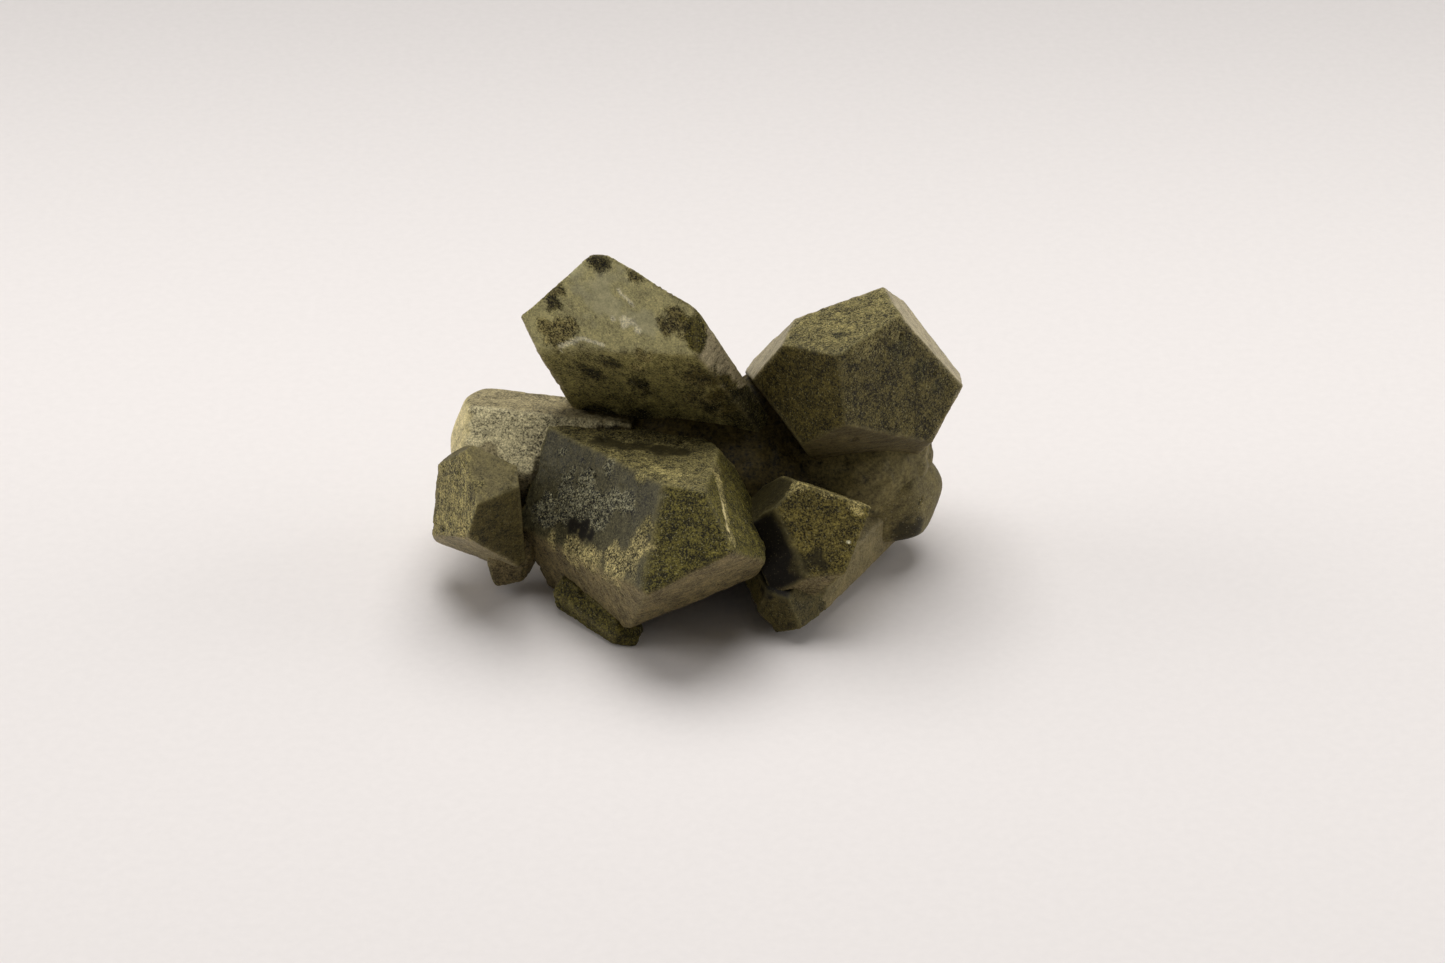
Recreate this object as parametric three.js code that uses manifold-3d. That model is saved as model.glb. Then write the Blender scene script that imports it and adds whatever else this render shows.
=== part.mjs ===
// Quartz specimen: a cluster of chlorite-filled quartz crystals grown outwards from one root mass.
// Millimetres, +Z up. The cluster stands on small worn flats under its root and its lowest crystals.
import * as THREE from 'three';
import { ConvexGeometry } from 'three/addons/geometries/ConvexGeometry.js';
import { mergeVertices } from 'three/addons/utils/BufferGeometryUtils.js';
import Module from 'manifold-3d';

// ---- driving dimensions ----
const CAP_SLOPE = 38;          // a cap face of quartz turns this far in from its prism face, degrees
const JOINT_GAP = 0.3;         // left between two crystals where one has grown against the other
const FLOOR_HEIGHT = 0;        // everything below this height has been worn flat
const ROOT_LUMPS = [           // the root mass is two lumpy balls grown together
  { centre: [2, 5.5, 8.5], halfSize: [16, 11, 10.5] },
  { centre: [16.5, 8, 10.5], halfSize: [9.5, 8.5, 10] },
];
const ROOT_FACETS = 7;         // how finely each ball of the root mass is divided
const LUMP_HEIGHT = 0.07;      // height of its bumps as a share of its half size
const ROOM = 100;              // side of a box that is larger than the whole cluster
const PARALLEL = 1e-4;         // three planes that meet more obliquely than this have no corner
const TOUCHING = 1e-6;         // a point this close to a plane lies on it

// A face is given by its turn round the crystal's long axis, its slope towards the tip and
// its distance from the crystal's seat (a point chosen on or near the long axis).
const side = (turn, distance, slope = 0) => ({ turn, slope, distance });
const cap = (turn, distance, slope = CAP_SLOPE) => ({ turn, slope, distance });

// Each crystal: where its seat is, where its long axis heads (degrees from +X towards +Y), how
// steeply it climbs, how far it is spun about that axis, how far its root runs back from the
// seat, and its prism and cap faces.
const CRYSTALS = [
  {
    name: 'upper_left_crystal',
    seat: [-6.5, -0.3, 29.2], heading: -131, climb: 59, spin: 25, root: 20,
    faces: [
      side(-1, 1.3), side(64, 7.3, 6), side(137, 7.1, 1), side(180, 10.5), side(240, 12),
      side(296, 10.9, 1), side(152, 6.3, 12), side(179, 7.7, 16),
      cap(2, 1.7, 29), cap(223, 10.9, 35),
    ],
  },
  {
    name: 'upper_right_crystal', seat: [18.1, -0.3, 25.3], heading: -99, climb: 39, spin: 193, root: 14,
    faces: [
      side(13, 9.2, 2), side(48, 9.8, 16), side(119, 9.6), side(179, 6.5, 6),
      side(233, 10.8, -15), side(299, 8.2, 7),
      cap(4, 7.3, 37), cap(119, 7.4, 41), cap(239, 4.6, 35),
    ],
  },
  {
    name: 'front_crystal', seat: [-1, -8.8, 10.8], heading: -56, climb: 13, spin: 117, root: 16,
    faces: [
      side(5, 8.9, 8), side(54, 8.6, 4), side(123, 10.8, 3), side(172, 12), side(250, 7.2, 12),
      side(300, 6.5),
      cap(2, 6.9, 34), cap(116, 13, 35), cap(240, 7.6, 37), cap(310, 8.4, 29),
    ],
  },
  {
    name: 'left_crystal', seat: [-24, -6.5, 12.8], heading: -95, climb: 25, spin: 157, root: 9,
    faces: [
      side(0, 5.3, -10), side(59, 6.4, 3), side(109, 6, 1), side(185, 4.6, 15), side(240, 8), side(302, 4, -10),
      cap(1, 6.7, 50), cap(113, 3.5, 28), cap(251, 4.2, 33),
    ],
  },
  {
    name: 'back_left_crystal', seat: [-18.5, 6, 11.8], heading: 172, climb: 3, spin: 12, root: 11,
    faces: [
      side(0, 6.2), side(60, 6.2), side(120, 6.2), side(180, 6.4), side(240, 6.5), side(300, 6.2),
      cap(0, 8.8, 62), cap(120, 9.8, 62), cap(180, 10.8, 66), cap(240, 9.6, 60),
    ],
  },
  {
    name: 'small_front_crystal', seat: [13, -8.5, 11.4], heading: -22, climb: 39, spin: 12, root: 6,
    faces: [
      side(-11, 5.7, 11), side(60, 6), side(120, 6), side(180, 5.5), side(240, 5), side(301, 6.9, -1),
      cap(6, 4.5, 26), cap(124, 4, 39), cap(241, 3.6, 37),
    ],
  },
  {
    name: 'lower_crystal', seat: [10.2, -10.5, 4], heading: -72, climb: -18, spin: 20, root: 7,
    faces: [
      side(0, 3.4), side(60, 3.6), side(120, 3.4), side(180, 3.3), side(240, 3.9), side(300, 3.4),
      cap(0, 3.4), cap(120, 3.2), cap(240, 3.9),
    ],
  },
  {
    name: 'low_right_crystal', seat: [16, -0.5, 5], heading: -122, climb: -4, spin: 26, root: 9,
    faces: [
      side(0, 4.2), side(60, 4.4), side(120, 4.6), side(180, 4.2), side(240, 4.4), side(300, 4.2),
      cap(0, 9.5), cap(120, 8), cap(240, 7.5),
    ],
  },
  {
    name: 'right_back_crystal', seat: [20.7, 5.5, 8.2], heading: 4, climb: 6, spin: 32, root: 8,
    faces: [
      side(0, 6.2), side(60, 6.4), side(120, 6), side(180, 6), side(240, 6.6), side(300, 6.4),
      cap(0, 6.8, 52), cap(60, 7.2, 52), cap(120, 6.4, 52), cap(180, 7, 52), cap(240, 6.8, 52),
      cap(300, 7.4, 52),
    ],
  },
  {
    name: 'foot_crystal', seat: [-10.7, -11.4, 1.2], heading: -47, climb: -8, spin: 50, root: 6,
    faces: [
      side(0, 2.2), side(60, 2.1), side(120, 2.2), side(180, 2.4), side(240, 2.1), side(300, 2.2),
      cap(0, 3.9), cap(120, 3.6), cap(240, 4.1),
    ],
  },
  {
    name: 'left_nub_crystal', seat: [-21, -2.5, 4.2], heading: -120, climb: -42, spin: 15, root: 3,
    faces: [
      side(0, 2.8), side(60, 2.4), side(120, 2.8), side(180, 2.6), side(240, 2.4), side(300, 2.6),
      cap(0, 2.8), cap(120, 2.8), cap(240, 3.2),
    ],
  },
];

// ---- colour and finish of each piece ----
const GREEN_QUARTZ = { color: 0x8b8967, roughness: 0.55, metalness: 0 };
const PALE_QUARTZ = { color: 0xa3a08a, roughness: 0.5, metalness: 0 };
const DARK_ROOT = { color: 0x5e5a3a, roughness: 0.8, metalness: 0 };
const PALE_PIECES = ['back_left_crystal', 'low_right_crystal', 'right_back_crystal'];

const wasm = await Module();
wasm.setup();

// The direction a face looks in, once its crystal has been spun, laid over and turned.
function faceDirection(crystal, turn, slope) {
  const radians = THREE.MathUtils.degToRad;
  const direction = new THREE.Vector3(
    Math.cos(radians(turn)) * Math.cos(radians(slope)),
    Math.sin(radians(turn)) * Math.cos(radians(slope)),
    Math.sin(radians(slope)),
  );
  direction.applyAxisAngle(new THREE.Vector3(0, 0, 1), radians(crystal.spin));
  direction.applyAxisAngle(new THREE.Vector3(0, 1, 0), radians(90 - crystal.climb));
  direction.applyAxisAngle(new THREE.Vector3(0, 0, 1), radians(crystal.heading));
  return direction;
}

// The flat faces that bound a crystal; `grow` moves every grown face outwards.
function boundingPlanes(crystal, grow) {
  const seat = new THREE.Vector3(...crystal.seat);
  const planes = crystal.faces.map(({ turn, slope, distance }) => {
    const direction = faceDirection(crystal, turn, slope);
    return { direction, reach: direction.dot(seat) + distance + grow };
  });
  const backwards = faceDirection(crystal, 0, 90).negate();
  planes.push({ direction: backwards, reach: backwards.dot(seat) + crystal.root + grow });
  planes.push({ direction: new THREE.Vector3(0, 0, -1), reach: -FLOOR_HEIGHT + grow });
  return planes;
}

// The point where three planes meet, or null where they are nearly parallel.
function meeting(a, b, c) {
  const crossed = new THREE.Vector3().crossVectors(b.direction, c.direction);
  const volume = a.direction.dot(crossed);
  if (Math.abs(volume) < PARALLEL) {
    return null;
  }
  const point = crossed.multiplyScalar(a.reach);
  point.addScaledVector(new THREE.Vector3().crossVectors(c.direction, a.direction), b.reach);
  point.addScaledVector(new THREE.Vector3().crossVectors(a.direction, b.direction), c.reach);
  return point.divideScalar(volume);
}

// The corners of a crystal are the meetings of three faces that no other face cuts away.
function crystalCorners(planes) {
  const corners = [];
  for (let i = 0; i < planes.length; i += 1) {
    for (let j = i + 1; j < planes.length; j += 1) {
      for (let k = j + 1; k < planes.length; k += 1) {
        const point = meeting(planes[i], planes[j], planes[k]);
        if (point && planes.every((p) => p.direction.dot(point) <= p.reach + TOUCHING)) {
          corners.push(point);
        }
      }
    }
  }
  return corners;
}

// A closed three.js surface as a solid that can be cut.
function toSolid(geometry) {
  const bare = geometry.clone();
  for (const name of Object.keys(bare.attributes)) {
    if (name !== 'position') {
      bare.deleteAttribute(name);
    }
  }
  const merged = mergeVertices(bare, 1e-4);
  return new wasm.Manifold(new wasm.Mesh({
    numProp: 3,
    vertProperties: new Float32Array(merged.attributes.position.array),
    triVerts: new Uint32Array(merged.index.array),
  }));
}

// A solid as a named mesh with flat faces.
function toMesh(name, solid, finish) {
  const { vertProperties, triVerts } = solid.getMesh();
  const indexed = new THREE.BufferGeometry();
  indexed.setAttribute('position', new THREE.BufferAttribute(new Float32Array(vertProperties), 3));
  indexed.setIndex(new THREE.BufferAttribute(new Uint32Array(triVerts), 1));
  const geometry = indexed.toNonIndexed();
  geometry.computeVertexNormals();
  const mesh = new THREE.Mesh(geometry, new THREE.MeshStandardMaterial({ ...finish }));
  mesh.name = name;
  return mesh;
}

function crystalSolid(crystal, grow = 0) {
  return toSolid(new ConvexGeometry(crystalCorners(boundingPlanes(crystal, grow))));
}

// One lumpy ball of the root mass.
function lumpyBall({ centre, halfSize }) {
  const ball = new THREE.IcosahedronGeometry(1, ROOT_FACETS);
  const positions = ball.attributes.position;
  const point = new THREE.Vector3();
  for (let i = 0; i < positions.count; i += 1) {
    point.fromBufferAttribute(positions, i);
    const bump = Math.sin(5 * point.x + 1) * Math.cos(4 * point.y) + Math.sin(6 * point.z + 2 * point.x);
    point.multiplyScalar(1 + LUMP_HEIGHT * bump);
    point.multiply(new THREE.Vector3(...halfSize)).add(new THREE.Vector3(...centre));
    positions.setXYZ(i, point.x, point.y, point.z);
  }
  return toSolid(ball);
}

// The root mass, worn flat underneath.
function rootSolid() {
  const above = new THREE.BoxGeometry(ROOM, ROOM, ROOM).translate(0, 0, ROOM / 2 + FLOOR_HEIGHT);
  return ROOT_LUMPS.map(lumpyBall).reduce((whole, ball) => whole.add(ball)).intersect(toSolid(above));
}

// What is left of a solid once it has given way, with a fine gap, to the crystals named.
function giveWay(solid, crystals) {
  return crystals.reduce((left, other) => left.subtract(crystalSolid(other, JOINT_GAP)), solid);
}

// Each crystal keeps its own faces and gives way to the ones named before it, and the root to all.
const pieces = CRYSTALS.map((crystal, order) => {
  const solid = giveWay(crystalSolid(crystal), CRYSTALS.slice(0, order));
  const finish = PALE_PIECES.includes(crystal.name) ? PALE_QUARTZ : GREEN_QUARTZ;
  return toMesh(crystal.name, solid, finish);
});
pieces.push(toMesh('root_mass', giveWay(rootSolid(), CRYSTALS), DARK_ROOT));

const group = new THREE.Group();
group.name = 'quartz_specimen';
pieces.forEach((piece) => group.add(piece));

// Centre the whole on its footprint, with its lowest flats at height zero.
const box = new THREE.Box3().setFromObject(group);
const centre = box.getCenter(new THREE.Vector3());
pieces.forEach((piece) => piece.geometry.translate(-centre.x, -centre.y, -box.min.z));

export default group;
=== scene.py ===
# %% [markdown]
# # A quartz specimen
# A cluster of quartz six centimetres wide: eleven crystals grown outwards from one lumpy root,
# coloured olive by fine grains of chlorite caught inside them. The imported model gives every
# crystal's place and flat faces. This script keeps those places and makes what can be seen and
# felt on the real thing: worn edges, a sandy crust, growth lines and glassy windows.

# %% Load the frame
import math
import time
import bpy
import numpy as np
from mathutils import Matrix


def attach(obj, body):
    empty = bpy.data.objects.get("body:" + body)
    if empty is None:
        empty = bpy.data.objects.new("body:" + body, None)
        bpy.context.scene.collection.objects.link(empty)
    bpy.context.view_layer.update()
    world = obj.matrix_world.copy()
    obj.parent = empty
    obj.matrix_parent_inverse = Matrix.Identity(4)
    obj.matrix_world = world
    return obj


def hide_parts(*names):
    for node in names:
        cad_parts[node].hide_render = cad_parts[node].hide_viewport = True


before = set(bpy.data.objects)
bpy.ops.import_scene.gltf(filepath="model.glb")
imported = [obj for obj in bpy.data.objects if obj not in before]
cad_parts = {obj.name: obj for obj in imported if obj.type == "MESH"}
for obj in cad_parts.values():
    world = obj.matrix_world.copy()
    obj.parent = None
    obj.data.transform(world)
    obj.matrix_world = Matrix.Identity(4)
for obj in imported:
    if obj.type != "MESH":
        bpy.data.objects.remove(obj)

MM = 0.001
started = time.time()
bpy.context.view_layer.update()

# %% [markdown]
# ## Camera and light
# The specimen is looked down on by about thirty degrees through a long lens, so its edges stay
# nearly parallel. It stands in a light tent: a broad soft lamp overhead, a weaker one on each
# side and a faint pale glow from all round, which leave only a soft dark pool under the cluster.

# %% Camera
CAMERA_PLACE = (2.80, -431.83, 267.80)     # mm
CAMERA_DROP = 30.5                         # degrees below level
CAMERA_LENS = 110.9                        # mm
SENSOR_WIDTH = 36                          # mm

lens = bpy.data.cameras.new("long_lens")
lens.lens = CAMERA_LENS
lens.sensor_width = SENSOR_WIDTH
lens.clip_start = 0.01
camera = bpy.data.objects.new("camera", lens)
camera.location = [v * MM for v in CAMERA_PLACE]
camera.rotation_euler = (math.radians(90 - CAMERA_DROP), 0, 0)
bpy.context.scene.collection.objects.link(camera)
bpy.context.scene.camera = camera
bpy.context.scene.view_settings.view_transform = "Standard"
print("camera", [round(v, 3) for v in camera.location])

# %% Lights
SKY_GLOW = 0.13
SKY_TINT = (1.0, 0.975, 0.955, 1)
LIGHTS = {                                 # place and aim in metres, size in metres, watts
    "tent_top": ((0.0, 0.22, 0.70), (0, 0, 0), 0.75, 5.5),
    "tent_left": ((-0.80, 0.10, 0.35), (0, 0, 0.01), 0.6, 2.4),
    "tent_right": ((0.80, 0.10, 0.35), (0, 0, 0.01), 0.6, 2.0),
}


def aim(thing, target):
    """Turns a lamp, which shines along its own -Z, towards a point."""
    way = np.subtract(target, thing.location)
    flat = math.hypot(way[0], way[1])
    thing.rotation_euler = (math.atan2(flat, -way[2]), 0, math.atan2(-way[0], way[1]))


for name, (place, target, size, watts) in LIGHTS.items():
    lamp = bpy.data.lights.new(name, "AREA")
    lamp.shape = "DISK"
    lamp.size = size
    lamp.energy = watts
    holder = bpy.data.objects.new(name, lamp)
    holder.location = place
    aim(holder, target)
    bpy.context.scene.collection.objects.link(holder)

sky = bpy.data.worlds.new("tent_glow")
sky.use_nodes = True
glow = sky.node_tree.nodes["Background"]
glow.inputs["Color"].default_value = SKY_TINT
glow.inputs["Strength"].default_value = SKY_GLOW
bpy.context.scene.world = sky
print(len(LIGHTS), "lamps and a glow of", SKY_GLOW)

# %% [markdown]
# ## Random ground
# Stone is never even, so every surface here leans on a few kinds of repeatable randomness.
# A lattice gives each whole-number cell of space its own fixed number. Smooth hills come from
# blending the eight numbers round a point, and grains from finding the nearest of the random
# points, one in each cell. The same place always gets the same number, so the stone is the
# same each time it is made.

# %% Lattice numbers
WORD = 0xFFFFFFFF                          # the lowest 32 bits of a whole number
CUBE_CORNERS = np.array([[i, j, k] for i in (0, 1) for j in (0, 1) for k in (0, 1)])
CUBE_NEIGHBOURS = np.array([[i, j, k] for i in (-1, 0, 1) for j in (-1, 0, 1) for k in (-1, 0, 1)])


def lattice(cell, seed):
    """A fixed number from 0 to 1 for each cell: its three whole numbers, each times a large odd
    number, are mixed by exclusive-or, and the bits are then stirred by two multiplications."""
    n = (cell[..., 0] * 73856093) ^ (cell[..., 1] * 19349663) ^ (cell[..., 2] * 83492791)
    n = (n ^ (seed * 7919 + 104729)) & WORD
    n = ((n ^ (n >> 15)) * 739982445) & WORD
    n = ((n ^ (n >> 12)) * 695872825) & WORD
    return ((n ^ (n >> 15)) & 0xFFFFFF) / 0xFFFFFF


# %% Hills and grains
SEED_STEP = 0.37                           # each seed slides the lattice by this much of a cell
FAR_AWAY = 9.0                             # in cells, farther than any grain's nearest point


def hills(points, size, seed):
    """Smooth hills from -1 to 1, about size apart: the lattice numbers of the eight cell corners
    round a point, weighted by t or 1 - t on each axis, where t is eased to 3t^2 - 2t^3."""
    scaled = points / size + SEED_STEP * seed
    cell = np.floor(scaled).astype(np.int64)
    t = scaled - cell
    t = t * t * (3 - 2 * t)
    total = np.zeros(len(points))
    for corner in CUBE_CORNERS:
        weight = np.prod(np.where(corner, t, 1 - t), axis=1)
        total += weight * lattice(cell + corner, seed)
    return 2 * total - 1


# a turn that takes no axis to another, nor back to itself
TURN = np.array([[0.00, 0.80, 0.60], [-0.80, 0.36, -0.48], [-0.60, -0.48, 0.64]])


def rough(points, size, seed, steps=4):
    """Hills with smaller hills on them: the sum of hills(size / 2^k) / 2^k, turned between steps
    so that no axis shows, and divided by the sum of the weights."""
    total, weights = np.zeros(len(points)), 0.0
    for k in range(steps):
        total += hills(points, size / 2**k, seed + k) / 2**k
        weights += 1 / 2**k
        points = points @ TURN.T
    return total / weights


def grains(points, size, seed):
    """Packed grains: each cell of side size holds one random point. Returns the distance to the
    nearest such point as a share of size, and that grain's own number from 0 to 1."""
    scaled = points / size
    cell = np.floor(scaled).astype(np.int64)
    nearest = np.full(len(points), FAR_AWAY)
    number = np.zeros(len(points))
    for step in CUBE_NEIGHBOURS:
        home = cell + step
        spot = home + np.stack([lattice(home, seed + a) for a in range(3)], axis=1)
        gap = np.linalg.norm(spot - scaled, axis=1)
        closer = gap < nearest
        nearest = np.where(closer, gap, nearest)
        number = np.where(closer, lattice(home, seed + 7), number)
    return nearest, number


def ease(low, high, value):
    """0 below low, 1 above high, and 3t^2 - 2t^3 between. High may be less than low."""
    t = np.clip((value - low) / (high - low), 0, 1)
    return t * t * (3 - 2 * t)


probe = np.random.default_rng(1).uniform(0, 40, (4000, 3))
print("hills spread", round(float(hills(probe, 3, 1).std()), 2))

# %% [markdown]
# ## The crystals' faces
# Quartz grows as a six-sided prism closed by sloping cap faces. Each face is a plane, given by
# its turn round the crystal's long axis, its slope towards the tip and its distance from a seat
# on that axis. Each also carries the name of its finish, because one crystal can have a clear
# face, a sandy face and a face with growth lines side by side.

# %% Finishes
# share of red, green and blue light given back, then sand, growth lines and gloss
FINISHES = {
    "clear": (0.440, 0.396, 0.172, 0.26, 0.20, 0.75),    # window into see-through quartz, painted pale for lamp light scattered inside it
    "haze": (0.470, 0.435, 0.225, 0.12, 0.20, 0.90),     # veil of tiny bubbles under a window
    "depth": (0.210, 0.182, 0.064, 0.60, 0.60, 0.60),    # window over a dark inside
    "glass": (0.064, 0.056, 0.026, 0.45, 0.20, 0.50),    # smooth, dark and shiny
    "jet": (0.008, 0.006, 0.003, 0.20, 0.10, 0.30),      # almost black: dark glass, and painted shade where a neighbour hides a face
    "deep": (0.040, 0.032, 0.010, 0.35, 0.10, 0.45),     # dark stone, darker still as painted shade in hollows that neighbours hide
    "frost": (0.085, 0.079, 0.047, 2.40, 0.00, 0.50),    # sugary crystals on dark glass
    "druse": (0.230, 0.190, 0.078, 1.30, 0.00, 0.30),    # a bed of such crystals
    "sand": (0.130, 0.108, 0.039, 1.00, 0.00, 0.15),     # crust of pale grains
    "grit": (0.195, 0.163, 0.060, 1.00, 0.00, 0.15),     # paler crust
    "ridge": (0.280, 0.228, 0.085, 1.10, 0.00, 0.15),    # palest crust
    "crust": (0.074, 0.060, 0.018, 0.90, 0.00, 0.15),    # brown-green crust
    "shade": (0.070, 0.055, 0.013, 0.85, 0.00, 0.15),    # darker crust, darker still as painted shade on faces that neighbours hide
    "moss": (0.079, 0.066, 0.013, 1.00, 0.00, 0.15),     # green crust, thick with chlorite
    "spot": (0.048, 0.041, 0.013, 1.20, 0.00, 0.20),     # dark tuft of chlorite
    "root": (0.050, 0.036, 0.009, 0.50, 0.00, 0.30),     # the old stone underneath, dark, and darker as painted shade of the crevices
    "olive": (0.112, 0.088, 0.021, 0.85, 0.10, 0.20),    # thin green-brown crust
    "dark": (0.082, 0.066, 0.020, 0.50, 0.20, 0.30),     # the same, thinner and darker
    "satin": (0.084, 0.066, 0.027, 0.35, 1.00, 0.45),    # smooth prism face, lined
    "husk": (0.155, 0.121, 0.054, 0.50, 1.00, 0.35),     # brown prism face, lined
    "silver": (0.370, 0.312, 0.185, 0.30, 1.00, 0.50),   # prism face, painted pale grey as a reflection of the bright tent
    "plain": (0.150, 0.122, 0.046, 0.30, 0.20, 0.35),    # smooth, nearly free of crust
    "pale": (0.200, 0.162, 0.072, 0.25, 0.40, 0.40),     # smooth and paler
    "grey": (0.255, 0.212, 0.112, 0.45, 0.60, 0.40),     # cloudy grey, lined
    "white": (0.500, 0.438, 0.252, 0.50, 0.10, 0.35),    # milky
    "honey": (0.560, 0.470, 0.230, 0.30, 0.10, 0.50),    # milky, stained by iron
    "chip": (0.700, 0.650, 0.420, 0.30, 0.00, 0.80),     # fresh white break
}

# %% Faces of each crystal
GROUP_SHIFT = np.array([0.104, 2.434, 0])  # mm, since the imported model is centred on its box
CRYSTALS = {
    # name: seat, heading, climb, spin, root, then the faces as (turn, slope, distance, finish)
    "upper_left": ((-6.5, -0.3, 29.2), -131, 59, 25, 20, [
        (-1, 0, 1.3, "depth"), (64, 6, 7.3, "silver"), (137, 1, 7.1, "satin"),
        (180, 0, 10.5, "husk"), (240, 0, 12, "husk"), (296, 1, 10.9, "silver"),
        (152, 12, 6.3, "husk"), (179, 16, 7.7, "husk"), (2, 29, 1.7, "clear"),
        (223, 35, 10.9, "grit")]),
    "upper_right": ((18.1, -0.3, 25.3), -99, 39, 193, 14, [
        (13, 2, 9.2, "silver"), (48, 16, 9.8, "silver"), (119, 0, 9.6, "satin"),
        (179, 6, 6.5, "satin"), (233, -15, 10.8, "silver"), (299, 7, 8.2, "silver"),
        (4, 37, 7.3, "sand"), (119, 41, 7.4, "shade"), (239, 35, 4.6, "crust")]),
    "front": ((-1, -8.8, 10.8), -56, 13, 117, 16, [
        (5, 8, 8.9, "sand"), (54, 4, 8.6, "sand"), (123, 3, 10.8, "glass"), (172, 0, 12, "husk"),
        (250, 12, 7.2, "husk"), (300, 0, 6.5, "satin"), (2, 34, 6.9, "moss"),
        (116, 35, 13, "moss"), (240, 37, 7.6, "husk"), (310, 29, 8.4, "moss")]),
    "left": ((-24, -6.5, 12.8), -95, 25, 157, 9, [
        (0, -10, 5.3, "satin"), (59, 3, 6.4, "dark"), (109, 1, 6, "satin"), (185, 15, 4.6, "grey"),
        (240, 0, 8, "satin"), (302, -10, 4, "satin"), (1, 50, 6.7, "plain"),
        (113, 28, 3.5, "grit"), (251, 33, 4.2, "dark")]),
    "back_left": ((-18.5, 6, 11.8), 172, 3, 12, 11, [
        (0, 0, 6.2, "grey"), (60, 0, 6.2, "grey"), (120, 0, 6.2, "white"), (180, 0, 6.4, "grey"),
        (240, 0, 6.5, "grey"), (300, 0, 6.2, "grey"), (0, 62, 8.8, "honey"),
        (120, 62, 9.8, "honey"), (180, 66, 10.8, "honey"), (240, 60, 9.6, "honey")]),
    # the small front crystal's face 240 is painted near black, partly as the front crystal's shade
    "small_front": ((13, -8.5, 11.4), -22, 39, 12, 6, [
        (-11, 11, 5.7, "olive"), (60, 0, 6, "satin"), (120, 0, 6, "satin"), (180, 0, 5.5, "deep"),
        (240, 0, 5, "jet"), (301, -1, 6.9, "husk"), (6, 26, 4.5, "olive"), (124, 39, 4, "ridge"),
        (241, 37, 3.6, "olive")]),
    # the lower crystal's jet face and black patches are painted shade under the small front crystal
    "lower": ((10.2, -10.5, 4), -72, -18, 20, 7, [
        (0, 0, 3.4, "dark"), (60, 0, 3.6, "dark"), (120, 0, 3.4, "dark"), (180, 0, 3.3, "jet"),
        (240, 0, 3.9, "dark"), (300, 0, 3.4, "dark"), (0, 38, 3.4, "dark"),
        (120, 38, 3.2, "dark"), (240, 38, 3.9, "dark")]),
    "low_right": ((16, -0.5, 5), -122, -4, 26, 9, [
        (0, 0, 4.2, "pale"), (60, 0, 4.4, "pale"), (120, 0, 4.6, "pale"), (180, 0, 4.2, "pale"),
        (240, 0, 4.4, "pale"), (300, 0, 4.2, "pale"), (0, 38, 9.5, "pale"), (120, 38, 8, "pale"),
        (240, 38, 7.5, "pale")]),
    "right_back": ((20.7, 5.5, 8.2), 4, 6, 32, 8, [
        (0, 0, 6.2, "plain"), (60, 0, 6.4, "plain"), (120, 0, 6, "plain"), (180, 0, 6, "plain"),
        (240, 0, 6.6, "plain"), (300, 0, 6.4, "plain"), (0, 52, 6.8, "plain"),
        (60, 52, 7.2, "plain"), (120, 52, 6.4, "plain"), (180, 52, 7, "plain"),
        (240, 52, 6.8, "plain"), (300, 52, 7.4, "plain")]),
    "foot": ((-10.7, -11.4, 1.2), -47, -8, 50, 6, [
        (0, 0, 2.2, "moss"), (60, 0, 2.1, "moss"), (120, 0, 2.2, "moss"), (180, 0, 2.4, "moss"),
        (240, 0, 2.1, "moss"), (300, 0, 2.2, "moss"), (0, 38, 3.9, "moss"),
        (120, 38, 3.6, "moss"), (240, 38, 4.1, "moss")]),
    "left_nub": ((-21, -2.5, 4.2), -120, -42, 15, 3, [
        (0, 0, 2.8, "husk"), (60, 0, 2.4, "husk"), (120, 0, 2.8, "husk"), (180, 0, 2.6, "husk"),
        (240, 0, 2.4, "husk"), (300, 0, 2.6, "husk"), (0, 38, 2.8, "husk"),
        (120, 38, 2.8, "husk"), (240, 38, 3.2, "husk")]),
}

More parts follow.
